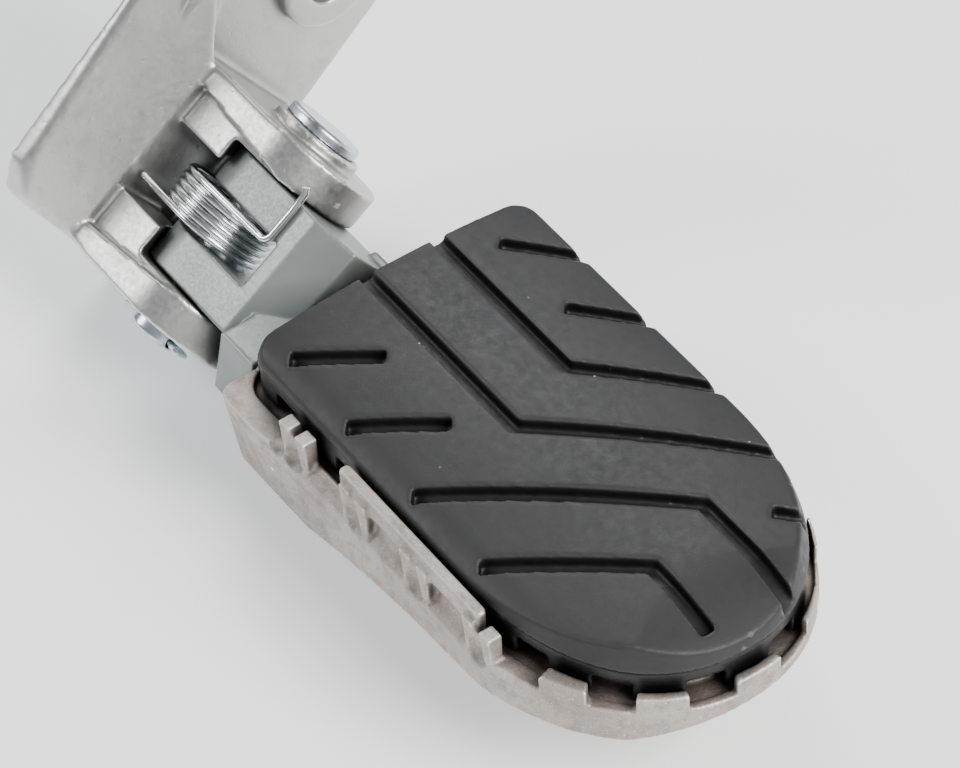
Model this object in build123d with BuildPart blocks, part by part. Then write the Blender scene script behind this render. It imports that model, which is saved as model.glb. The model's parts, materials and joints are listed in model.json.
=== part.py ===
"""Folding motorcycle foot peg, right-hand side, in millimetres.

A cast hanger carries a clevis.  The joint arm of the peg turns in it on a pin that is
tilted front end up, so the peg folds up and back against its torsion spring.  The arm
is screwed under a toothed cast platform, and a rubber pad on a carrier sits in that.

Row frame: +X outboard, +Y forward, +Z up, origin on the hanger's mounting face,
midway between its two frame bolts.
"""

import os
from math import cos, radians, sin

from build123d import *

os.makedirs("parts", exist_ok=True)

# ---------------------------------------------------------------- driving dimensions

# pivot: the middle of the pin between the two ears
pivot = Vector(28, -34, -50)
pivot_tilt = 35  # degrees, front end of the pin up
pin_r = 5.0
pin_fit = 0.06  # radial clearance of the pin in its bores

# frame bolts, one above the other on the mounting face
bolt_spacing = 45
bolt_hole_r = 4.25
boss_r = 9.5
boss_top = 10  # height of the bosses above the mounting face
plate_thickness = 6.5

# clevis
ear_r = 14  # round end of the ears, and half their depth
ear_shift = 1  # the round end is centred this far outboard of the pin
ear_inner = 13.3
ear_outer = 20.5
ear_pad = 2.2  # round pad on the front ear under the pin's head
ear_pad_r = 9
back_wall = 17  # from the pivot inboard to the pocket's back wall
ledge_depth = 2  # step of the cast rim down to the machined ledge
shoulder_reach = 4.5  # the shoulders end this far inboard of the pivot
shoulder_rear = 7.5
shoulder_front = 8.5
heel_gap = 0.2
stop_rise = -8  # middle of the heel stop
stop_height = 7
knuckle_gap = 0.9
fold_limit = 60  # degrees the peg folds up
fold_room = 0.35  # between the folded tongue and the shoulders

# joint arm
knuckle_r = 9.5
arm_half = 12.9
slot_half = 4.9
slot_end = 15.6
heel = 13

# torsion spring, hanging on the pin off its centre
wire_r = 0.7
coil_mean_r = 9.8
coil_turns = 6
coil_pitch = 1.43
coil_out = -3.1
coil_along = 0.3
coil_rise = 2.1

# peg: the pad's inner edge on its centreline, level with the pad's top edge
peg_root = pivot + Vector(33.9, 9.9, 12)
pad_length = 102
pad_half = 28.5
pad_straight = 61  # the sides run straight to here
pad_crown = 3.4
pad_corner = 4
seam_grow = 1.0  # the slab's lower edge stands out this far
groove_width = 2.9
groove_depth = 2.6

carrier_floor = -6
carrier_bottom = -10
skirt_grow = 0.5
skirt_thickness = 2

platform_inner = -2.6
platform_rear = 33.1
rear_flare = 2.5  # the rim's rear side stands out this much further at the arm end
rear_bend = 72  # the tip's curve starts here on the rear side
platform_front = 31
platform_tip = 105.6
rim_top = -6
notch_floor = -9.4
pocket_grow = 1.7
pocket_floor = -10.6
platform_bottom = -26.5
slope_start = 20  # from here the bottom rises to tip_bottom
tip_bottom = -16.5
facet_height = -12  # a facet under the tip meets its end at this height
facet_tilt = (0.29, 0.11)  # the facet's rise outboard and forward
side_lean = 0.4  # the outer wall leans in by this much down to the bottom

# block and foot of the joint arm, square to the platform
block_rear = -27.5
block_front = 5.5
block_inner_top = -12.5
block_inner_bottom = -17
block_top = -8.6
foot_bottom = -26.2
foot_top = -22.5
foot_corner = 6
foot_room = 0.5  # around the foot in the platform's underside
foot_end = 22
foot_rear = -25
foot_front = 6
screw_x = 9
screw_y = (-17.5, -1.5)
screw_r = 3.0
screw_top = -12
screw_head_r = 5.25
screw_head_height = 3.3
screw_washer_r = 6
screw_washer_thickness = 1.2

# ---------------------------------------------------------------- frames

axis_out = Vector(1, 0, 0)
axis_pin = Vector(0, cos(radians(pivot_tilt)), sin(radians(pivot_tilt)))
axis_rise = Vector(0, -sin(radians(pivot_tilt)), cos(radians(pivot_tilt)))


def at_clevis(out, along, rise):
    """A point given outboard of the pivot, along the pin and square to both."""
    return pivot + axis_out * out + axis_pin * along + axis_rise * rise


def side_plane(along):
    """Square to the pin: local x is outboard, local y is rise, extrusion runs rearward."""
    return Plane(at_clevis(0, along, 0), x_dir=axis_out, z_dir=-axis_pin)


def rim_plane(rise):
    """Parallel to the rim: local x is outboard, local y runs along the pin."""
    return Plane(at_clevis(0, 0, rise), x_dir=axis_out, z_dir=axis_rise)


def peg_level(height):
    """Horizontal plane of the peg: local x is outboard from the pad's inner edge."""
    return Plane(peg_root + Vector(0, 0, height))


def on_plate(along, rise):
    """Clevis coordinates turned into the mounting face's Y and Z."""
    point = at_clevis(0, along, rise)
    return (point.Y, point.Z)


def pad_outline(grow):
    """The pad's D-shaped plan, made larger by grow all round."""
    half = pad_half + grow
    tip = pad_length + grow
    reach = tip - pad_straight
    full_rear = 0.64  # between an ellipse's 0.55 and a square's 1
    full_front = 0.58
    with BuildSketch(mode=Mode.PRIVATE) as outline:
        with BuildLine():
            Bezier(
                (pad_straight, -half),
                (pad_straight + full_rear * reach, -half),
                (tip, -full_rear * half),
                (tip, 0),
            )
            Bezier(
                (tip, 0),
                (tip, full_front * half),
                (pad_straight + full_front * reach, half),
                (pad_straight, half),
            )
            Polyline((pad_straight, half), (-grow, half), (-grow, -half), (pad_straight, -half))
        make_face()
        corners = outline.vertices().group_by(Axis.X)[0]
        fillet(corners, radius=max(pad_corner + grow, 1))
    return outline.sketch


def platform_outline(shrink, flare):
    """The platform's plan, with its rear side standing out by flare at the arm end."""
    front = platform_front - shrink
    tip = platform_tip - shrink
    inner = platform_inner + shrink
    rear = platform_rear - shrink
    wide = rear + flare
    full_rear = 0.62
    full_front = 0.56
    with BuildSketch(mode=Mode.PRIVATE) as outline:
        with BuildLine():
            Polyline((pad_straight, front), (inner, front), (inner, -wide), (8, -wide))
            Bezier((8, -wide), (14, -wide), (16, -rear), (22, -rear))
            Line((22, -rear), (rear_bend, -rear))
            Bezier(
                (rear_bend, -rear),
                (rear_bend + full_rear * (tip - rear_bend), -rear + 2.5),
                (tip, -full_rear * 27),
                (tip, 0),
            )
            Bezier(
                (tip, 0),
                (tip, full_front * front),
                (pad_straight + full_front * (tip - pad_straight), front),
                (pad_straight, front),
            )
        make_face()
        corners = outline.vertices().group_by(Axis.X)[0]
        fillet(corners, radius=3)
    return outline.sketch


# ---------------------------------------------------------------- hanger

plate_points = [
    on_plate(0, -ear_r),
    on_plate(ear_outer + 2.5, -ear_r - 3.5),
    on_plate(48, -14.5),
    (13, 10),
    (13, 22.5),
    (-13, 22.5),
    (-19, 0),
    on_plate(0, ear_r),
]
beam_points = [
    on_plate(-ear_outer, -ear_r),
    on_plate(-ear_outer, 24),
    on_plate(-15, 28.5),
    on_plate(20, 32.5),
    on_plate(44, 36),
    on_plate(60, 42),
    on_plate(56, 30),
    on_plate(36, 25),
    on_plate(ear_outer, ear_r),
    on_plate(ear_outer, -ear_r),
]
beam_top = pivot.X - back_wall
beam_slope = 0.46  # the beam's upper face leans inboard as it rises

with BuildPart() as hanger:
    # beam behind the clevis, with its upper face leaning inboard
    with BuildSketch(Plane.YZ):
        with BuildLine():
            Polyline(*beam_points, close=True)
        make_face()
    extrude(amount=beam_top)
    cut_rise = 45
    with BuildSketch(side_plane(80)):
        with BuildLine():
            Polyline(
                (-back_wall, ear_r),
                (-back_wall + 1, cut_rise),
                (-back_wall - beam_slope * (cut_rise - ear_r), cut_rise),
                close=True,
            )
        make_face()
    extrude(amount=120, mode=Mode.SUBTRACT)
    # mounting plate with its two bolt bosses
    with BuildSketch(Plane.YZ):
        with BuildLine():
            Polyline(*plate_points, close=True)
        make_face()
        with Locations((0, bolt_spacing / 2)):
            Circle(13)
    extrude(amount=plate_thickness)
    with BuildSketch(Plane.YZ):
        with GridLocations(1, bolt_spacing, 1, 2):
            Circle(boss_r)
    extrude(amount=boss_top)
    # ears
    for outer_side in (ear_outer, -ear_inner):
        with BuildSketch(side_plane(outer_side)):
            with Locations((ear_shift, 0)):
                Circle(ear_r)
            with Locations(((ear_shift - pivot.X) / 2, 0)):
                Rectangle(pivot.X + ear_shift, 2 * ear_r)
        extrude(amount=ear_outer - ear_inner)
    with BuildSketch(side_plane(ear_outer + ear_pad)):
        Circle(ear_pad_r)
    extrude(amount=ear_pad)
    # shoulders and heel stop between the ears
    shoulder_length = back_wall - shoulder_reach
    shoulder_rise = ear_r - ledge_depth
    rear_shoulder = (-shoulder_rear, ear_inner - shoulder_rear)
    front_shoulder = (ear_inner, ear_inner - shoulder_front)
    # the tongue's upper face when the peg is folded, with a little room
    fold_run = Vector(cos(radians(fold_limit)), sin(radians(fold_limit)))
    fold_foot = Vector(-fold_run.Y, fold_run.X) * (knuckle_r + fold_room)
    fold_head = fold_foot + fold_run * ear_r
    for from_along, width in (rear_shoulder, front_shoulder):
        with BuildSketch(side_plane(from_along)):
            with Locations((-back_wall + shoulder_length / 2, shoulder_rise / 2)):
                Rectangle(shoulder_length, shoulder_rise)
            Circle(knuckle_r + knuckle_gap, mode=Mode.SUBTRACT)
            with BuildLine():
                Polyline((0, 0), fold_foot, fold_head, (ear_r, fold_head.Y), close=True)
            make_face(mode=Mode.SUBTRACT)
        extrude(amount=width)
    stop_depth = back_wall - heel - heel_gap
    with BuildSketch(side_plane(ear_inner)):
        with Locations((-back_wall + stop_depth / 2, stop_rise)):
            Rectangle(stop_depth, stop_height)
    extrude(amount=2 * ear_inner)
    # cast step along the inside of the rim, wide at the back and running out in front
    for side in (1, -1):
        with BuildSketch(rim_plane(ear_r)):
            with BuildLine():
                Polyline(
                    (-back_wall, side * (ear_inner - 1)),
                    (-back_wall, side * (ear_inner + 2.8)),
                    (9, side * (ear_inner + 0.3)),
                    (9, side * (ear_inner - 1)),
                    close=True,
                )
            make_face()
        extrude(amount=-ledge_depth, mode=Mode.SUBTRACT)
    # bores for the pin and the frame bolts
    with BuildSketch(side_plane(ear_outer + ear_pad)):
        Circle(pin_r + pin_fit)
    extrude(amount=2 * ear_outer + ear_pad, mode=Mode.SUBTRACT)
    with BuildSketch(Plane.YZ):
        with GridLocations(1, bolt_spacing, 1, 2):
            Circle(bolt_hole_r)
    extrude(amount=boss_top, mode=Mode.SUBTRACT)

hanger.part.label = "hanger_bracket"
export_step(hanger.part, "parts/hanger_bracket.step")

# ---------------------------------------------------------------- pin, washers, split pin

head_height = 2.2
head_r = 7.5
end_washer_r = 8
end_washer_thickness = 1
front_face = ear_outer + ear_pad
pin_rear = -ear_outer - 3.8
split_along = -ear_outer - 2.2
split_wire_r = 0.5

with BuildPart() as pin:
    with BuildSketch(side_plane(front_face)):
        Circle(pin_r)
    extrude(amount=front_face - pin_rear)
    rear_rim = pin.edges().sort_by(lambda edge: edge.center().dot(axis_pin))[0]
    chamfer(rear_rim, length=0.6)
    with BuildSketch(side_plane(front_face + head_height)):
        Circle(head_r)
    extrude(amount=head_height)
    head_rim = pin.edges().sort_by(lambda edge: edge.center().dot(axis_pin))[-1]
    chamfer(head_rim, length=0.5)
    cross_plane = Plane(at_clevis(0, split_along, 0), x_dir=axis_pin, z_dir=axis_out)
    with BuildSketch(cross_plane):
        Circle(2 * split_wire_r + 0.15)
    extrude(amount=pin_r + 1, both=True, mode=Mode.SUBTRACT)
pin.part.label = "pivot_pin"
export_step(pin.part, "parts/pivot_pin.step")

with BuildPart() as end_washer:
    with BuildSketch(side_plane(-ear_outer)):
        Circle(end_washer_r)
        Circle(pin_r + 0.15, mode=Mode.SUBTRACT)
    extrude(amount=end_washer_thickness)
end_washer.part.label = "pin_end_washer"
export_step(end_washer.part, "parts/pin_end_washer.step")

# split pin across the pin's rear end: an eye outboard, two legs spread inboard
leg_gap = split_wire_r + 0.03
eye_reach = pin_r + 3.2
with BuildPart() as split_pin:
    with BuildLine(side_plane(split_along)) as route:
        FilletPolyline(
            (-pin_r - 2.6, 2.6),
            (-pin_r - 0.9, leg_gap),
            (pin_r + 0.6, leg_gap),
            (pin_r + 1.4, 1.6),
            (eye_reach, 1.6),
            (eye_reach, -1.6),
            (pin_r + 1.4, -1.6),
            (pin_r + 0.6, -leg_gap),
            (-pin_r - 0.9, -leg_gap),
            (-pin_r - 2.6, -2.6),
            radius=(0.8, 0.55, 0.55, 1.1, 1.1, 0.55, 0.55, 0.8),
        )
    with BuildSketch(Plane(route.line @ 0, z_dir=route.line % 0)):
        Circle(split_wire_r)
    sweep(path=route.line)
split_pin.part.label = "split_pin"
export_step(split_pin.part, "parts/split_pin.step")

# ---------------------------------------------------------------- torsion spring

coil_centre = at_clevis(coil_out, coil_along, coil_rise)
coil_axis = Axis(coil_centre, axis_pin)
coil_half = coil_pitch * (coil_turns - 1) / 2
rear_turn = coil_along - coil_half
front_turn = coil_along + coil_half
with BuildPart() as spring:
    # close-wound turns as a stack of rings on the coil's mean diameter
    with BuildSketch(Plane(coil_centre, x_dir=axis_pin, z_dir=axis_out)):
        for turn in range(coil_turns):
            with Locations((-coil_half + turn * coil_pitch, coil_mean_r)):
                Circle(wire_r + 0.05)
    revolve(axis=coil_axis)
    # rear leg: up the pocket's back wall
    rear_points = [
        at_clevis(coil_out - 2.2, rear_turn, coil_rise + coil_mean_r - 0.3),
        at_clevis(-back_wall + 1.2, rear_turn, ear_r - 3),
    ]
    with BuildLine() as rear_leg:
        Polyline(*rear_points)
    with BuildSketch(Plane(rear_leg.line @ 0, z_dir=rear_leg.line % 0)):
        Circle(wire_r)
    sweep(path=rear_leg.line)
    # front leg: outboard over the slot, then forward across the front lug
    leg_out = slot_end - 1.4
    leg_rise = knuckle_r + wire_r + 0.05
    leg_tip = 16
    front_points = [
        at_clevis(coil_out + 2.5, front_turn, coil_rise + coil_mean_r - 0.4),
        at_clevis(leg_out, front_turn, leg_rise),
        at_clevis(leg_out, leg_tip, leg_rise),
    ]
    with BuildLine() as front_leg:
        FilletPolyline(*front_points, radius=1.2)
    with BuildSketch(Plane(front_leg.line @ 0, z_dir=front_leg.line % 0)):
        Circle(wire_r)
    sweep(path=front_leg.line)
spring.part.label = "return_spring"
export_step(spring.part, "parts/return_spring.step")

# ---------------------------------------------------------------- joint arm

neck_x = peg_root.X + block_inner_top + 6 - pivot.X  # the tongue ends inside the block
with BuildPart() as arm:
    # tongue between the ears, square to the pin
    with BuildSketch(side_plane(arm_half)):
        Circle(knuckle_r)
        with BuildLine():
            Polyline(
                (0, knuckle_r),
                (19, knuckle_r),
                (neck_x, knuckle_r - 4),
                (neck_x, -knuckle_r),
                (-heel, -knuckle_r),
                (-heel, -knuckle_r + 5),
                (-2, -knuckle_r + 5),
                (0, 0),
                close=True,
            )
        make_face()
    extrude(amount=2 * arm_half)
    # block against the platform's inner side
    with BuildSketch(Plane(peg_root + Vector(0, block_rear, 0), x_dir=(1, 0, 0), z_dir=(0, -1, 0))):
        with BuildLine():
            Polyline(
                (block_inner_top, block_top),
                (platform_inner, block_top),
                (platform_inner, foot_bottom),
                (block_inner_bottom, foot_bottom),
                close=True,
            )
        make_face()
    extrude(amount=block_rear - block_front)
    # foot under the platform
    foot_length = foot_end - block_inner_bottom - 2
    foot_middle = foot_end - foot_length / 2
    with BuildSketch(peg_level(foot_bottom)):
        with Locations((foot_middle, (foot_rear + foot_front) / 2)):
            RectangleRounded(foot_length, foot_front - foot_rear, foot_corner)
    extrude(amount=foot_top - foot_bottom)
    # slot for the spring, bore for the pin, holes for the screws
    with BuildSketch(side_plane(slot_half)):
        with Locations((slot_end - 20, 0)):
            Rectangle(40, 60)
    extrude(amount=2 * slot_half, mode=Mode.SUBTRACT)
    with BuildSketch(side_plane(arm_half)):
        Circle(pin_r + pin_fit)
    extrude(amount=2 * arm_half, mode=Mode.SUBTRACT)
    with BuildSketch(peg_level(foot_bottom)):
        with Locations(*[(screw_x, y) for y in screw_y]):
            Circle(screw_r + 0.25)
    extrude(amount=foot_top - foot_bottom, mode=Mode.SUBTRACT)
arm.part.label = "joint_arm"
export_step(arm.part, "parts/joint_arm.step")

with BuildPart() as screws:
    with BuildSketch(peg_level(foot_bottom - screw_washer_thickness)):
        with Locations(*[(screw_x, y) for y in screw_y]):
            Circle(screw_r)
    extrude(amount=screw_top - foot_bottom + screw_washer_thickness)
    with BuildSketch(peg_level(foot_bottom - screw_washer_thickness)):
        with Locations(*[(screw_x, y) for y in screw_y]):
            Circle(screw_head_r)
    extrude(amount=-screw_head_height)
    low_rims = screws.edges().group_by(Axis.Z)[0]
    fillet(low_rims, radius=1.2)
    with BuildSketch(peg_level(foot_bottom - screw_washer_thickness - screw_head_height)):
        with Locations(*[(screw_x, y) for y in screw_y]):
            RegularPolygon(radius=2.3, side_count=6)
    extrude(amount=2.2, mode=Mode.SUBTRACT)
screws.part.label = "adapter_screws"
export_step(screws.part, "parts/adapter_screws.step")

with BuildPart() as screw_washers:
    with BuildSketch(peg_level(foot_bottom - screw_washer_thickness)):
        with Locations(*[(screw_x, y) for y in screw_y]):
            Circle(screw_washer_r)
            Circle(screw_r + 0.2, mode=Mode.SUBTRACT)
    extrude(amount=screw_washer_thickness)
screw_washers.part.label = "adapter_washers"
export_step(screw_washers.part, "parts/adapter_washers.step")

# ---------------------------------------------------------------- platform

tooth_pitch = 17.9
tooth_x = [18.3 + tooth_pitch * i for i in range(4)]
tooth_length = 7.6
tooth_top = -3.6
flute_bottom = -10.6
flute_out = 1.2  # the flutes' middles lie this far outside the wall's face
middle_flute = (2.9, 1.55)  # radius at the bottom and at the tooth's top
side_flute = (1.7, 1.2)
scoop_r = 3.7
scoop_y = -34.5
scoop_z = -8.4
base_up = (Align.CENTER, Align.CENTER, Align.MIN)
pocket_rear = -(pad_half + pocket_grow)
bar_inner = -29.9
bar_outer = -32.1
bar_start = 31
bar_end = 71.5
bar_top = -1.8
bar_under = -5.4
bottom_rise = [(31, -23.5), (41, -21.6), (52, -20), (62, -19.4), (70, -18.8), (77, -18), (85, -17.3)]
tip_centre = 72
merlon_step = 29.5
stud_r = 4
stud_spots = [(30, -17), (30, 17), (84, -9), (84, 9)]
windows = [
    (50, 14.5, 15, 14),
    (50, -14.5, 15, 14),
    (70, 12.5, 14, 13),
    (70, -12.5, 14, 13),
    (94, 0, 6, 15),
    (13, 17.5, 15, 9),
]

with BuildPart() as platform:
    with BuildSketch(peg_level(rim_top)):
        add(platform_outline(0, rear_flare))
    with BuildSketch(peg_level(platform_bottom)):
        add(platform_outline(side_lean, 0))
    loft(ruled=True)
    # the bottom rises towards the tip
    cut_bottom = platform_bottom - 1
    with BuildSketch(Plane(peg_root, x_dir=(1, 0, 0), z_dir=(0, -1, 0))):
        with BuildLine():
            Polyline(
                (slope_start, cut_bottom),
                (slope_start, platform_bottom),
                *bottom_rise,
                (platform_tip + 1, tip_bottom),
                (platform_tip + 1, cut_bottom),
                close=True,
            )
        make_face()
    extrude(amount=60, both=True, mode=Mode.SUBTRACT)
    facet_end = peg_root + Vector(platform_tip, 0, facet_height)
    with BuildSketch(Plane(facet_end, x_dir=(0, 1, 0), z_dir=(*facet_tilt, -1))):
        Rectangle(300, 300)
    extrude(amount=60, mode=Mode.SUBTRACT)
    # room under the platform for the joint arm's foot
    room_length = foot_end + foot_room - platform_inner + 2 * foot_corner
    room_width = foot_front - foot_rear + 2 * foot_room
    with BuildSketch(peg_level(platform_bottom)):
        with Locations((foot_end + foot_room - room_length / 2, (foot_rear + foot_front) / 2)):
            RectangleRounded(room_length, room_width, foot_corner + foot_room)
    extrude(amount=foot_top - platform_bottom, mode=Mode.SUBTRACT)
    # room for the pad's skirt
    with BuildSketch(peg_level(pocket_floor)):
        add(pad_outline(pocket_grow))
    extrude(amount=20, mode=Mode.SUBTRACT)
    # rear side: ledge at the arm end and wall top between the teeth
    with BuildSketch(peg_level(notch_floor)):
        with Locations((40, -pad_half - 5)):
            Rectangle(86, 14)
    extrude(amount=10, mode=Mode.SUBTRACT)
    # web under the rail bar
    with BuildSketch(peg_level(notch_floor - 1)):
        with Locations(((bar_start + bar_end) / 2, (pocket_rear + bar_outer) / 2)):
            Rectangle(bar_end - bar_start - 1, pocket_rear - bar_outer)
    extrude(amount=bar_under - notch_floor + 1)
    # tooth blocks: flutes that widen downwards leave two pointed facets on each
    for x in tooth_x:
        with BuildSketch(peg_level(notch_floor - 1)):
            with Locations((x, (pocket_rear - platform_rear) / 2)):
                Rectangle(tooth_length, pocket_rear + platform_rear)
        extrude(amount=tooth_top - notch_floor + 1)
        flute_height = tooth_top - flute_bottom + 0.2
        for shift, radii in ((-tooth_length / 2, side_flute), (0, middle_flute), (tooth_length / 2, side_flute)):
            low = peg_root + Vector(x + shift, -platform_rear - flute_out, flute_bottom)
            with Locations(Plane(low)):
                Cone(*radii, flute_height, align=base_up, mode=Mode.SUBTRACT)
                Sphere(radii[0], mode=Mode.SUBTRACT)
        # gap between the block's two teeth
        with BuildSketch(Plane(peg_root + Vector(x, 0, tooth_top), x_dir=(1, 0, 0), z_dir=(0, -1, 0))):
            with BuildLine():
                Polyline((-1.0, 0.1), (1.0, 0.1), (0.5, -2.4), (-0.5, -2.4), close=True)
            make_face()
        extrude(amount=platform_rear + 1, mode=Mode.SUBTRACT)
    # scoops in the wall between the blocks
    for x in tooth_x[:-1]:
        scoop_start = peg_root + Vector(x + tooth_length / 2, 0, 0)
        with BuildSketch(Plane(scoop_start, x_dir=(0, 1, 0), z_dir=(1, 0, 0))):
            with Locations((scoop_y, scoop_z)):
                Circle(scoop_r)
        extrude(amount=tooth_pitch - tooth_length, mode=Mode.SUBTRACT)
    # rail bar beside the pad
    with BuildSketch(peg_level(bar_under)):
        with Locations(((bar_start + bar_end) / 2, (bar_inner + bar_outer) / 2)):
            RectangleRounded(bar_end - bar_start, bar_inner - bar_outer, 0.9)
    extrude(amount=bar_top - bar_under)
    # notches round the tip leave merlons
    for index in range(-2, 4):
        angle = merlon_step * (index - 0.5)
        ray = (cos(radians(angle)), sin(radians(angle)), 0)
        spot = peg_root + Vector(tip_centre, 0, notch_floor)
        with BuildSketch(Plane(spot, x_dir=ray, z_dir=(0, 0, 1))):
            with Locations((30, 0)):
                Rectangle(40, 8.2)
        extrude(amount=10, mode=Mode.SUBTRACT)
    # front side notches
    with BuildSketch(peg_level(notch_floor)):
        with Locations(*[(x, pad_half + 4) for x in (12, 30, 48, 66)]):
            Rectangle(8.5, 12)
    extrude(amount=10, mode=Mode.SUBTRACT)
    # pedestal that carries the pad's carrier inside its skirt
    with BuildSketch(peg_level(pocket_floor - 1)):
        add(pad_outline(-3.2))
    extrude(amount=carrier_floor - pocket_floor + 1)
    # windows between the ribs, stud holes and threaded holes
    with BuildSketch(peg_level(platform_bottom)):
        for x, y, length, width in windows:
            with Locations((x, y)):
                RectangleRounded(length, width, 2.5)
        with Locations(*stud_spots):
            Circle(stud_r + 0.3)
    extrude(amount=carrier_floor - platform_bottom, mode=Mode.SUBTRACT)
    with BuildSketch(peg_level(platform_bottom)):
        with Locations(*[(screw_x, y) for y in screw_y]):
            Circle(screw_r + 0.02)
    extrude(amount=screw_top - platform_bottom + 1, mode=Mode.SUBTRACT)
platform.part.label = "platform"
export_step(platform.part, "parts/platform.step")

# ---------------------------------------------------------------- pad carrier

seam = -3
tab_gap = 7
stud_bottom = -12.5
window_rays = [-75, -45, -15, 15, 45, 75]
with BuildPart() as carrier:
    with BuildSketch(peg_level(carrier_floor)):
        add(pad_outline(skirt_grow))
    extrude(amount=seam - carrier_floor)
    with BuildSketch(peg_level(carrier_bottom)):
        add(pad_outline(skirt_grow))
        add(pad_outline(skirt_grow - skirt_thickness), mode=Mode.SUBTRACT)
    extrude(amount=carrier_floor - carrier_bottom)
    # gaps between the skirt's tabs
    with BuildSketch(peg_level(carrier_bottom)):
        with Locations(*[(x, 0) for x in (11, 29, 46, 63)]):
            Rectangle(tab_gap, 2 * pad_half + 10)
    extrude(amount=carrier_floor - carrier_bottom, mode=Mode.SUBTRACT)
    for angle in window_rays:
        ray = (cos(radians(angle)), sin(radians(angle)), 0)
        spot = peg_root + Vector(tip_centre, 0, carrier_bottom)
        with BuildSketch(Plane(spot, x_dir=ray, z_dir=(0, 0, 1))):
            with Locations((25, 0)):
                Rectangle(30, tab_gap)
        extrude(amount=carrier_floor - carrier_bottom, mode=Mode.SUBTRACT)
    # studs that press into the platform
    with BuildSketch(peg_level(stud_bottom)):
        with Locations(*stud_spots):
            Circle(stud_r)
    extrude(amount=carrier_floor - stud_bottom)
carrier.part.label = "pad_carrier"
export_step(carrier.part, "parts/pad_carrier.step")

# ---------------------------------------------------------------- rubber pad

crown_across = (pad_half**2 + pad_crown**2) / (2 * pad_crown)
roll_start = 84  # the crown runs level to here, then rolls down to the tip
roll_drop = 6.5
edge_roll = -23.5  # from here the rear side rolls down to the seam
edge_out = -31  # the roll's end, outside the slab
edge_drop = -3  # height of the roll's end
groove_rear = -26.5  # grooves and slots stop here on the rear side
slot_inner = -13.2
groove_pitch = 19.3
groove_first = -34
groove_slope = 0.9  # outboard run per millimetre forward
bend_rear = -5.4
bend_front = 9.6
run_out = 5  # the grooves run out past the edges


def slant(number, y):
    """Point of slanting groove line number at this y."""
    return (groove_first + groove_pitch * number + groove_slope * (y + pad_half), y)


edge_y = pad_half + run_out
tip_out = pad_length + run_out
grooves = [
    [(-run_out, bend_front), slant(2, bend_front), slant(2, edge_y)],
    [(-run_out, bend_rear), slant(3, bend_rear), slant(3, edge_y)],
    [slant(4, groove_rear), slant(4, bend_front), (tip_out, bend_front)],
    [slant(5, groove_rear), slant(5, bend_rear), (pad_length - 3.5, bend_rear)],
    [slant(2, groove_rear + 1), slant(2, slot_inner)],
    [slant(3, groove_rear), slant(3, slot_inner)],
    [slant(0, 17.9), slant(0, edge_y)],
    [slant(1, 17.9), slant(1, edge_y)],
    [slant(4, 17.9), slant(4, edge_y)],
]


def crowned_slab(lowered):
    """The pad's slab with its crown lowered by this much."""
    height = pad_crown + 1
    spread = seam_grow * height / -seam
    with BuildPart(mode=Mode.PRIVATE) as slab:
        with BuildSketch(peg_level(seam)):
            add(pad_outline(seam_grow))
        with BuildSketch(peg_level(height)):
            add(pad_outline(-spread))
        loft(ruled=True)
        top = pad_crown - lowered
        below = seam - 5
        edge_fall = edge_roll**2 / (2 * crown_across)
        wide = pad_half + 4
        wide_fall = wide**2 / (2 * crown_across)
        with BuildSketch(Plane(peg_root, x_dir=(0, 1, 0), z_dir=(1, 0, 0))):
            with BuildLine():
                ThreePointArc((edge_roll, top - edge_fall), (0, top), (wide, top - wide_fall))
                Polyline(
                    (wide, top - wide_fall),
                    (wide, below - 3),
                    (edge_out, below - 3),
                    (edge_out, edge_drop - lowered),
                )
                TangentArc(
                    (edge_roll, top - edge_fall),
                    (edge_out, edge_drop - lowered),
                    tangent=(-1, edge_roll / crown_across),
                )
            make_face()
        extrude(amount=pad_length + 20, both=True, mode=Mode.INTERSECT)
        with BuildSketch(Plane(peg_root, x_dir=(1, 0, 0), z_dir=(0, -1, 0))):
            with BuildLine():
                Polyline((roll_start, top), (-10, top), (-10, below), (tip_out, below))
                Line((tip_out, below), (tip_out, top - roll_drop))
                TangentArc((roll_start, top), (tip_out, top - roll_drop), tangent=(1, 0))
            make_face()
        extrude(amount=pad_half + 20, both=True, mode=Mode.INTERSECT)
    return slab.part


with BuildPart() as pad:
    add(crowned_slab(0))
    for points in grooves:
        with BuildSketch(peg_level(seam)):
            with BuildLine() as route:
                Polyline(*points)
            trace(route.line, line_width=groove_width)
        extrude(amount=12, mode=Mode.SUBTRACT)
    add(crowned_slab(groove_depth))
pad.part.label = "rubber_pad"
export_step(pad.part, "parts/rubber_pad.step")
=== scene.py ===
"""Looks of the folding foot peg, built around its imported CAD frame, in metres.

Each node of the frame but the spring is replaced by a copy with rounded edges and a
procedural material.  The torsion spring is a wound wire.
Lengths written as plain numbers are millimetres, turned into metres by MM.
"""

import json

import bpy
import numpy as np
from math import cos, radians, sin
from mathutils import Matrix, Vector


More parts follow.
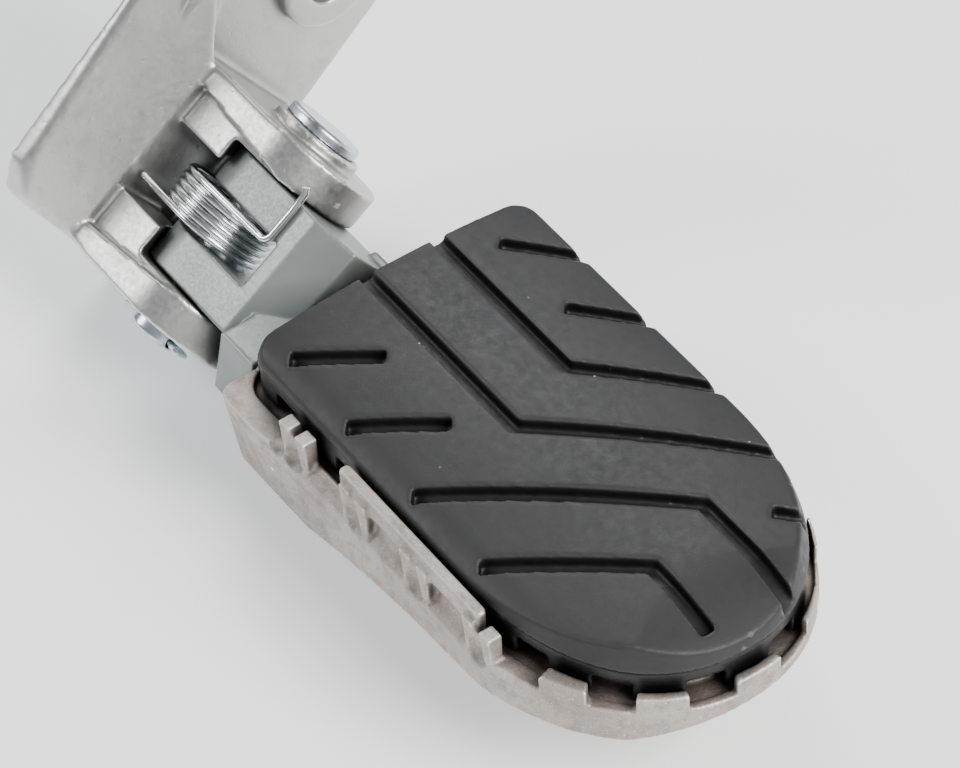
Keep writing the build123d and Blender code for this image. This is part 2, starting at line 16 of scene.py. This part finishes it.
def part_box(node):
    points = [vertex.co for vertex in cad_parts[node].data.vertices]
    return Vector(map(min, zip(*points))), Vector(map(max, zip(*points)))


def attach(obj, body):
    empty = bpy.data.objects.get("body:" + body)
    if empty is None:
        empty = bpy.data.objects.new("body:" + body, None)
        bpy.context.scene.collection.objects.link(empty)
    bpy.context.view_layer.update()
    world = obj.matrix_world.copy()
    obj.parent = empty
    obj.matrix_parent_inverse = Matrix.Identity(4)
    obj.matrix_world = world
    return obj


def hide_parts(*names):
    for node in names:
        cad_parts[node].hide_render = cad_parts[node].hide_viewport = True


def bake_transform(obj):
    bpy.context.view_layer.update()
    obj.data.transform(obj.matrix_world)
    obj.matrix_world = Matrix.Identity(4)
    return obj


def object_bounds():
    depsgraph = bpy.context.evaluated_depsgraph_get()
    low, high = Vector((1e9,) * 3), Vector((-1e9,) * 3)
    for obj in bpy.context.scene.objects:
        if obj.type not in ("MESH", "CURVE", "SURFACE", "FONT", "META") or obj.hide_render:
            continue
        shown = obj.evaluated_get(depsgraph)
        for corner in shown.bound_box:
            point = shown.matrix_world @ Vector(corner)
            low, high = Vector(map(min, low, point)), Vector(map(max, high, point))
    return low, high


MM = 0.001
RANGE_INPUTS = ("From Min", "From Max", "To Min", "To Max")

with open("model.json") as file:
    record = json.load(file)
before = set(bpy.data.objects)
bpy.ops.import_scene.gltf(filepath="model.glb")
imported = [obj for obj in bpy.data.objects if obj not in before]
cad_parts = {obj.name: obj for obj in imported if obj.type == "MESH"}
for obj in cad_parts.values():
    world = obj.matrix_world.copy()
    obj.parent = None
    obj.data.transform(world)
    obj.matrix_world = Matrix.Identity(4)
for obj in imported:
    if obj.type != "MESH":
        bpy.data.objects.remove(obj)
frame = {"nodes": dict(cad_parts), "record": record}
cad_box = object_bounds()

# ---------------------------------------------------------------- places from the frame

hinge = frame["record"]["behaviour"]["joints"][0]
pivot = Vector(hinge["pos_m"])
axis_out = Vector((1, 0, 0))
axis_pin = -Vector(hinge["axis"])  # towards the pin's front end
axis_rise = axis_out.cross(axis_pin)
pad_low, pad_high = (Vector(corner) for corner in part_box("rubber_pad"))
seam_grow = 1.0 * MM  # the pad's lower edge stands out this far from its plan
seam_depth = 3.0 * MM  # and lies this far below its top edge
pad_middle = (pad_low.y + pad_high.y) / 2
pad_root = Vector((pad_low.x + seam_grow, pad_middle, pad_low.z + seam_depth))


def at_clevis(out, along, rise):
    """A point given in millimetres outboard of the pivot, along the pin and square to both."""
    return pivot + (axis_out * out + axis_pin * along + axis_rise * rise) * MM


# ---------------------------------------------------------------- mesh helpers


def neighbour_mean(co, edges, degree):
    """Each vertex's mean of its neighbours."""
    total = np.empty_like(co)
    for k in range(3):
        total[:, k] = np.bincount(edges[:, 0], co[edges[:, 1], k], len(co))
        total[:, k] += np.bincount(edges[:, 1], co[edges[:, 0], k], len(co))
    return total / degree[:, None]


def relax(mesh, passes, weight=None):
    """Rounds a mesh's edges; weight is each vertex's share of the effect."""
    co = np.empty(3 * len(mesh.vertices))
    mesh.vertices.foreach_get("co", co)
    co = co.reshape(-1, 3)
    edges = np.empty(2 * len(mesh.edges), int)
    mesh.edges.foreach_get("vertices", edges)
    edges = edges.reshape(-1, 2)
    degree = np.bincount(edges.ravel(), minlength=len(co)).astype(float)
    degree[degree == 0] = 1
    share = 0.5 if weight is None else 0.5 * weight(co)[:, None]
    for _ in range(passes):
        co += share * (neighbour_mean(co, edges, degree) - co)
    mesh.vertices.foreach_set("co", co.ravel())
    mesh.update()


def near_path(points, reach):
    """Weight that is 1 on a path of points and fades to 0 at this distance."""
    ends = [np.array(p) for p in points]

    def weight(co):
        best = np.full(len(co), 1e9)
        for a, b in zip(ends, ends[1:]):
            t = np.clip((co - a) @ (b - a) / ((b - a) @ (b - a)), 0, 1)
            best = np.minimum(best, np.linalg.norm(co - (a + t[:, None] * (b - a)), axis=1))
        fade = np.clip(1 - best / reach, 0, 1)
        return fade * fade * (3 - 2 * fade)

    return weight


def softened(node, body, material, voxel, passes, extra=()):
    """Stands for a CAD node with its edges rounded as a casting's or a moulding's are.

    The voxels are this many millimetres wide, and extra holds more passes for some
    of the edges, each with the weight that picks them.
    """
    source = frame["nodes"][node]
    even = source.modifiers.new("even", "REMESH")
    even.mode = "VOXEL"
    even.voxel_size = voxel * MM
    graph = bpy.context.evaluated_depsgraph_get()
    mesh = bpy.data.meshes.new_from_object(source.evaluated_get(graph))
    source.modifiers.remove(even)
    mesh.name = f"{node}_soft"
    relax(mesh, passes)
    for more_passes, weight in extra:
        relax(mesh, more_passes, weight)
    mesh.polygons.foreach_set("use_smooth", [True] * len(mesh.polygons))
    mesh.materials.clear()
    mesh.materials.append(material)
    piece = bpy.data.objects.new(f"{node}_soft", mesh)
    bpy.context.scene.collection.objects.link(piece)
    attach(piece, body)
    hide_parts(node)
    return piece


# ---------------------------------------------------------------- materials


class Shader:
    """A material's node tree with short calls for the nodes that it uses."""

    def __init__(self, name):
        self.material = bpy.data.materials.new(name)
        self.material.use_nodes = True
        self.tree = self.material.node_tree
        self.surface = self.tree.nodes["Principled BSDF"]
        self.place = self.tree.nodes.new("ShaderNodeTexCoord").outputs["Object"]

    def join(self, out, socket):
        """Links a node's output to a socket."""
        self.tree.links.new(out, socket)

    def noise(self, size, detail=4, rough=0.55, stretch=None):
        """Noise whose features are about this many millimetres."""
        node = self.tree.nodes.new("ShaderNodeTexNoise")
        node.inputs["Scale"].default_value = 1 / (size * MM)
        node.inputs["Detail"].default_value = detail
        node.inputs["Roughness"].default_value = rough
        place = self.place
        if stretch:
            mapping = self.tree.nodes.new("ShaderNodeMapping")
            mapping.inputs["Scale"].default_value = stretch
            self.join(place, mapping.inputs["Vector"])
            place = mapping.outputs["Vector"]
        self.join(place, node.inputs["Vector"])
        return node.outputs["Fac"]

    def cells(self, size):
        """Distance to the nearest of points about this many millimetres apart."""
        node = self.tree.nodes.new("ShaderNodeTexVoronoi")
        node.inputs["Scale"].default_value = 1 / (size * MM)
        self.join(self.place, node.inputs["Vector"])
        return node.outputs["Distance"]

    def edge(self, low, high):
        """0 to 1 where the surface turns outwards."""
        node = self.tree.nodes.new("ShaderNodeNewGeometry")
        return self.span(node.outputs["Pointiness"], low, high)

    def hollow(self, reach, open_, closed):
        """0 in the open to 1 where surfaces within this many millimetres shut the sky out."""
        node = self.tree.nodes.new("ShaderNodeAmbientOcclusion")
        node.samples = 8
        node.inputs["Distance"].default_value = reach * MM
        return self.span(node.outputs["AO"], closed, open_, 1.0, 0.0)

    def span(self, value, low, high, out_low=0.0, out_high=1.0):
        """Maps a value from one range to another, clamped."""
        node = self.tree.nodes.new("ShaderNodeMapRange")
        self.join(value, node.inputs["Value"])
        for socket, number in zip(RANGE_INPUTS, (low, high, out_low, out_high)):
            node.inputs[socket].default_value = number
        return node.outputs["Result"]

    def math(self, kind, a, b):
        """Sum, difference or product of two values or numbers."""
        node = self.tree.nodes.new("ShaderNodeMath")
        node.operation = kind
        for socket, value in zip(node.inputs, (a, b)):
            if isinstance(value, (int, float)):
                socket.default_value = value
            else:
                self.join(value, socket)
        return node.outputs[0]

    def mix(self, factor, a, b):
        """Blends two colours."""
        node = self.tree.nodes.new("ShaderNodeMix")
        node.data_type = "RGBA"
        self.join(factor, node.inputs["Factor"])
        for socket, colour in ((node.inputs[6], a), (node.inputs[7], b)):
            if isinstance(colour, tuple):
                socket.default_value = (*colour, 1)
            else:
                self.join(colour, socket)
        return node.outputs[2]

    def bump(self, height, depth, strength=1.0, under=None):
        """Bump of this many millimetres, laid over another bump."""
        node = self.tree.nodes.new("ShaderNodeBump")
        node.inputs["Distance"].default_value = depth * MM
        node.inputs["Strength"].default_value = strength
        self.join(height, node.inputs["Height"])
        if under is not None:
            self.join(under, node.inputs["Normal"])
        return node.outputs["Normal"]

    def finish(self, colour, rough, normal, metallic):
        """Feeds the surface and gives the material."""
        self.join(colour, self.surface.inputs["Base Color"])
        self.join(rough, self.surface.inputs["Roughness"])
        self.join(normal, self.surface.inputs["Normal"])
        self.surface.inputs["Metallic"].default_value = metallic
        return self.material


def cast_aluminium():
    """Light tumbled casting with small pits, brighter on its edges."""
    dull, clean, stain = (0.46, 0.46, 0.45), (0.56, 0.56, 0.545), (0.41, 0.41, 0.40)
    wear_and_highlight, shaded = (0.92, 0.92, 0.91), (0.12, 0.12, 0.115)
    s = Shader("cast_aluminium")
    broad = s.noise(26, 3)
    grain = s.noise(0.9, 5)
    pits = s.span(s.cells(2.6), 0.06, 0.16)
    colour = s.mix(s.span(broad, 0.35, 0.65), dull, clean)
    colour = s.mix(s.span(s.noise(5, 6, 0.7), 0.5, 0.75), colour, stain)
    # the edges are painted near white, partly as wear and partly as painted highlight
    colour = s.mix(s.edge(0.515, 0.57), colour, wear_and_highlight)
    colour = s.mix(s.hollow(6, 0.80, 0.35), colour, shaded)
    rough = s.math("ADD", s.span(grain, 0.3, 0.7, 0.30, 0.42), s.span(broad, 0.3, 0.7, 0.0, 0.06))
    normal = s.bump(s.noise(9, 3), 0.10)
    normal = s.bump(grain, 0.035, under=normal)
    normal = s.bump(pits, 0.03, under=normal)
    return s.finish(colour, rough, normal, 0.92)


def coated_casting():
    """Cool grey-green satin coat over a machined arm."""
    dark, light = (0.215, 0.245, 0.235), (0.275, 0.30, 0.29)
    wear_and_highlight, shaded = (0.50, 0.53, 0.51), (0.12, 0.13, 0.125)
    s = Shader("coated_casting")
    broad = s.noise(15, 3)
    grain = s.noise(0.6, 4)
    colour = s.mix(s.span(broad, 0.35, 0.65), dark, light)
    # the edges are painted paler, partly as wear and partly as painted highlight
    colour = s.mix(s.edge(0.53, 0.60), colour, wear_and_highlight)
    colour = s.mix(s.hollow(5, 0.75, 0.30), colour, shaded)
    rough = s.span(grain, 0.3, 0.7, 0.36, 0.48)
    normal = s.bump(s.noise(6, 3), 0.05)
    normal = s.bump(grain, 0.02, under=normal)
    return s.finish(colour, rough, normal, 0.45)


def blasted_stainless():
    """Warm grey blasted casting with a fine sparkle, polished where boots wear its edges; the
    edges are also painted near white, as wear and painted highlight.
    """
    dark, light, stain = (0.36, 0.315, 0.285), (0.48, 0.43, 0.39), (0.27, 0.235, 0.21)
    wear_and_highlight, glint, shaded = (0.93, 0.89, 0.85), (0.95, 0.93, 0.90), (0.050, 0.040, 0.034)
    s = Shader("blasted_stainless")
    broad = s.noise(18, 4)
    grain = s.noise(0.55, 3, 0.6)
    mottle = s.noise(3.2, 6, 0.65)
    colour = s.mix(s.span(broad, 0.35, 0.65), dark, light)
    colour = s.mix(s.span(mottle, 0.48, 0.72), colour, stain)
    # the edges are painted near white, partly as wear and partly as painted highlight
    colour = s.mix(s.edge(0.52, 0.60), colour, wear_and_highlight)
    colour = s.mix(s.span(s.noise(0.30, 2, 0.5), 0.64, 0.78), colour, glint)
    colour = s.mix(s.hollow(5, 0.88, 0.38), colour, shaded)
    rough = s.math("SUBTRACT", s.span(grain, 0.3, 0.7, 0.36, 0.54), s.edge(0.54, 0.64))
    rough = s.span(rough, 0.0, 1.0, 0.26, 1.0)
    normal = s.bump(s.noise(7, 4), 0.10)
    normal = s.bump(grain, 0.12, under=normal)
    normal = s.bump(mottle, 0.14, under=normal)
    return s.finish(colour, rough, normal, 0.8)


def zinc_steel(name, low, high, rough_low, rough_high):
    """Bright plated steel with faint cloudy patches and fine scratches."""
    s = Shader(name)
    cloud = s.noise(3.0, 5, 0.6)
    scratch = s.noise(0.5, 3, 0.6, stretch=(0.15, 1, 1))
    colour = s.mix(s.span(cloud, 0.35, 0.65), low, high)
    # the edges are painted brighter: a painted highlight
    colour = s.mix(s.edge(0.52, 0.62), colour, tuple(min(1, 1.25 * c) for c in high))
    rough = s.span(cloud, 0.3, 0.7, rough_low, rough_high)
    normal = s.bump(scratch, 0.012)
    return s.finish(colour, rough, normal, 1.0)


def rubber(name, dark, light, rough_low, rough_high):
    """Moulded rubber: fine matt grain, edges painted paler as wear and painted highlight, a few
    dust specks, and painted shade in its grooves.
    """
    dust = (0.35, 0.34, 0.33)
    s = Shader(name)
    broad = s.noise(22, 4)
    grain = s.noise(0.35, 3, 0.6)
    colour = s.mix(s.span(broad, 0.35, 0.65), dark, light)
    # the edges are painted paler, partly as wear and partly as painted highlight
    colour = s.mix(s.edge(0.515, 0.60), colour, tuple(2.6 * c for c in light))
    specks = s.span(s.cells(5.5), 0.045, 0.025)
    specks = s.math("MULTIPLY", specks, s.span(s.noise(14, 2), 0.52, 0.60))
    colour = s.mix(specks, colour, dust)
    # painted shade darkens the grooves and recesses
    colour = s.mix(s.hollow(3.5, 0.88, 0.45), colour, tuple(0.12 * c for c in dark))
    rough = s.span(s.noise(1.6, 5, 0.65), 0.3, 0.7, rough_low, rough_high)
    normal = s.bump(s.noise(4, 3), 0.04)
    normal = s.bump(grain, 0.02, under=normal)
    s.surface.inputs["Specular IOR Level"].default_value = 0.30
    return s.finish(colour, rough, normal, 0.0)


aluminium = cast_aluminium()
coated = coated_casting()
stainless = blasted_stainless()
zinc = zinc_steel("zinc_steel", (0.50, 0.55, 0.60), (0.66, 0.71, 0.77), 0.24, 0.38)
spring_wire = zinc_steel("spring_steel", (0.66, 0.68, 0.70), (0.84, 0.86, 0.88), 0.14, 0.26)
screw_steel = zinc_steel("screw_steel", (0.40, 0.40, 0.41), (0.55, 0.55, 0.56), 0.28, 0.44)
pad_rubber = rubber("pad_rubber", (0.020, 0.020, 0.021), (0.027, 0.027, 0.028), 0.44, 0.58)
plastic = rubber("black_plastic", (0.009, 0.009, 0.010), (0.014, 0.014, 0.015), 0.38, 0.52)

# ---------------------------------------------------------------- hanger side

ear_outer = 20.5  # outer face of each ear, along the pin
rim = 14  # top of the clevis above the pin
back_wall = 17  # from the pin inboard to the clevis's back wall

# edges that the real casting rounds more: each path runs along one of them
corner_top = at_clevis(-back_wall - 6, -15, 29)
ridge = [
    at_clevis(0, ear_outer, rim),
    at_clevis(-back_wall, ear_outer, rim),
    at_clevis(-back_wall - 4, 36, 25),
    at_clevis(-back_wall - 7, 56, 30),
]
rear_corner = [
    at_clevis(-back_wall, -ear_outer, -rim),
    at_clevis(-back_wall, -ear_outer, rim),
    at_clevis(-back_wall - 5, -ear_outer, 26),
    corner_top,
]
crest = [
    corner_top,
    at_clevis(-back_wall - 8, 20, 33),
    at_clevis(-back_wall - 10, 60, 42),
]
hanger_extra = (
    (35, near_path(ridge, 4 * MM)),
    (45, near_path(rear_corner, 5 * MM)),
    (40, near_path(crest, 5 * MM)),
)
softened("hanger_bracket", "hanger", aluminium, 0.42, 4, hanger_extra)
softened("pivot_pin", "hanger", zinc, 0.25, 3)
softened("pin_end_washer", "hanger", zinc, 0.16, 3)
softened("split_pin", "hanger", zinc, 0.11, 2)

# ---------------------------------------------------------------- torsion spring

wire_r = 0.7
coil_r = 9.8  # to the middle of the wire
coil_out = -3.1  # the coil hangs off the pin's centre
coil_rise = 2.1
rear_turn = -3.275  # the coil runs from here to front_turn along the pin
front_turn = 3.875
turns = 5
steps_per_turn = 48
rear_angle = 92  # where the rear leg meets the coil, in degrees
front_angle = 84  # where the front leg leaves it
knuckle_r = 9.5  # the arm's tongue, which the front leg lies on
knuckle_gap = 0.05
slot_end = 15.6  # outer end of the tongue's slot
leg_out = slot_end - 1.4
leg_rise = knuckle_r + wire_r + knuckle_gap
leg_bend_r = 1.6
leg_bend_steps = 6
leg_tip = 16


def spring_path():
    """Points along the wire: rear leg, close-wound turns, front leg with its bent end."""
    points = [(-back_wall + 1.0, rear_turn, 10.6), (-back_wall + 1.6, rear_turn, 10.9)]
    total = turns * 360 + (rear_angle - front_angle)
    steps = turns * steps_per_turn
    for i in range(steps + 1):
        t = i / steps
        angle = radians(rear_angle - total * t)
        along = rear_turn + (front_turn - rear_turn) * t
        points.append((coil_out + coil_r * cos(angle), along, coil_rise + coil_r * sin(angle)))
    points.append((leg_out - leg_bend_r - 1, front_turn, leg_rise + 0.1))
    for i in range(leg_bend_steps + 1):
        angle = radians(90 - 90 / leg_bend_steps * i)
        out = leg_out - leg_bend_r + leg_bend_r * cos(angle)
        along = front_turn + leg_bend_r - leg_bend_r * sin(angle)
        points.append((out, along, leg_rise))
    points.append((leg_out, 11, leg_rise))
    points.append((leg_out - 0.1, leg_tip - 1.2, leg_rise + 0.2))
    points.append((leg_out - 0.5, leg_tip - 0.2, leg_rise + 0.7))
    return [at_clevis(*p) for p in points]


curve = bpy.data.curves.new("return_spring_wire", "CURVE")
curve.dimensions = "3D"
curve.bevel_depth = wire_r * MM
curve.bevel_resolution = 5
curve.use_fill_caps = True
line = curve.splines.new("POLY")
path = spring_path()
line.points.add(len(path) - 1)
for point, spot in zip(line.points, path):
    point.co = (*spot, 1)
wire = bpy.data.objects.new("return_spring_wire", curve)
bpy.context.scene.collection.objects.link(wire)
graph = bpy.context.evaluated_depsgraph_get()
spring_mesh = bpy.data.meshes.new_from_object(wire.evaluated_get(graph))
bpy.data.objects.remove(wire)
spring_mesh.polygons.foreach_set("use_smooth", [True] * len(spring_mesh.polygons))
spring_mesh.materials.clear()
spring_mesh.materials.append(spring_wire)
spring = bpy.data.objects.new("return_spring_coil", spring_mesh)
bpy.context.scene.collection.objects.link(spring)
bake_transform(spring)
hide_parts("return_spring")

# ---------------------------------------------------------------- peg side

softened("joint_arm", "peg", coated, 0.35, 4)
softened("adapter_screws", "peg", screw_steel, 0.25, 3)
softened("adapter_washers", "peg", screw_steel, 0.18, 3)
softened("platform", "peg", stainless, 0.34, 2)
softened("pad_carrier", "peg", plastic, 0.45, 3)
softened("rubber_pad", "peg", pad_rubber, 0.36, 4)

# ---------------------------------------------------------------- floor, light and camera

floor_gap = 0.5 * MM
floor_z = cad_box[0][2] - floor_gap
half = 1.5
floor_mesh = bpy.data.meshes.new("floor")
corners = [(x * half, y * half, floor_z) for x, y in ((-1, -1), (1, -1), (1, 1), (-1, 1))]
floor_mesh.from_pydata(corners, [], [(0, 1, 2, 3)])
floor = bpy.data.objects.new("floor", floor_mesh)
bpy.context.scene.collection.objects.link(floor)
paper = Shader("floor_paper")
paper_colour = paper.mix(paper.noise(60, 3), (0.90, 0.91, 0.92), (0.93, 0.93, 0.93))
paper_rough = paper.span(paper.noise(2, 3), 0.3, 0.7, 0.75, 0.9)
paper_grain = paper.bump(paper.noise(0.8, 3), 0.02)
paper.surface.inputs["Emission Color"].default_value = (0.93, 0.95, 0.98, 1)
paper.surface.inputs["Emission Strength"].default_value = 0.42
floor_mesh.materials.append(paper.finish(paper_colour, paper_rough, paper_grain, 0.0))

# a sky that is dim in some directions and bright in others, for the metal to mirror
sky_dimmest = 0.12
sky_brightest = 0.50
world = bpy.data.worlds.new("studio")
bpy.context.scene.world = world
world.use_nodes = True
sky = world.node_tree
sky_place = sky.nodes.new("ShaderNodeTexCoord").outputs["Generated"]
sky_noise = sky.nodes.new("ShaderNodeTexNoise")
sky_noise.inputs["Scale"].default_value = 1.3
sky_noise.inputs["Detail"].default_value = 1
sky.links.new(sky_place, sky_noise.inputs["Vector"])
sky_range = sky.nodes.new("ShaderNodeMapRange")
for socket, number in zip(RANGE_INPUTS, (0.35, 0.65, sky_dimmest, sky_brightest)):
    sky_range.inputs[socket].default_value = number
sky.links.new(sky_noise.outputs["Fac"], sky_range.inputs["Value"])
background = sky.nodes["Background"]
background.inputs["Color"].default_value = (0.86, 0.89, 0.94, 1)
sky.links.new(sky_range.outputs["Result"], background.inputs["Strength"])


def softbox(name, direction, distance, size, power, colour):
    """An area light that faces the inner end of the pad."""
    light = bpy.data.lights.new(name, "AREA")
    light.shape = "RECTANGLE"
    light.size, light.size_y = size
    light.energy = power
    light.color = colour
    lamp = bpy.data.objects.new(name, light)
    bpy.context.scene.collection.objects.link(lamp)
    target = pad_root + Vector((10 * MM, 0, 0))
    away = Vector(direction).normalized()
    facing = away.to_track_quat("Z", "Y").to_matrix().to_4x4()
    lamp.matrix_world = Matrix.Translation(target + away * distance) @ facing


softbox("key", (0.85, 0.25, 0.75), 0.9, (0.45, 0.45), 14.0, (1.0, 0.98, 0.95))
softbox("rim", (-0.57, -0.57, 0.60), 1.0, (0.35, 0.35), 5.0, (1.0, 1.0, 1.0))
softbox("back", (-0.57, 0.40, 0.74), 1.1, (0.5, 0.3), 7.0, (0.98, 0.99, 1.0))

# the camera looks from outboard, behind and above, with a long lens
azimuth = radians(56.87)
elevation = radians(47.42)
roll = radians(-3)
camera_distance = 0.8355
aim_out = 50 * MM  # the view is centred near here on the pad's centreline
aim_right = -13.18 * MM  # and this far off it, across and up the picture
aim_up = 9.71 * MM
back = Vector((sin(azimuth) * cos(elevation), -cos(azimuth) * cos(elevation), sin(elevation)))
level_right = Vector((cos(azimuth), sin(azimuth), 0))
level_up = back.cross(level_right)
right = cos(roll) * level_right + sin(roll) * level_up
up = cos(roll) * level_up - sin(roll) * level_right
lens = bpy.data.cameras.new("camera")
lens.lens = 187.5
lens.sensor_width = 36
lens.clip_start = 0.01
camera = bpy.data.objects.new("camera", lens)
bpy.context.scene.collection.objects.link(camera)
aim = pad_root + Vector((aim_out, 0, 0)) + aim_right * right + aim_up * up
camera_turn = Matrix((right, up, back)).transposed().to_4x4()
camera.matrix_world = Matrix.Translation(aim + camera_distance * back) @ camera_turn
bpy.context.scene.camera = camera
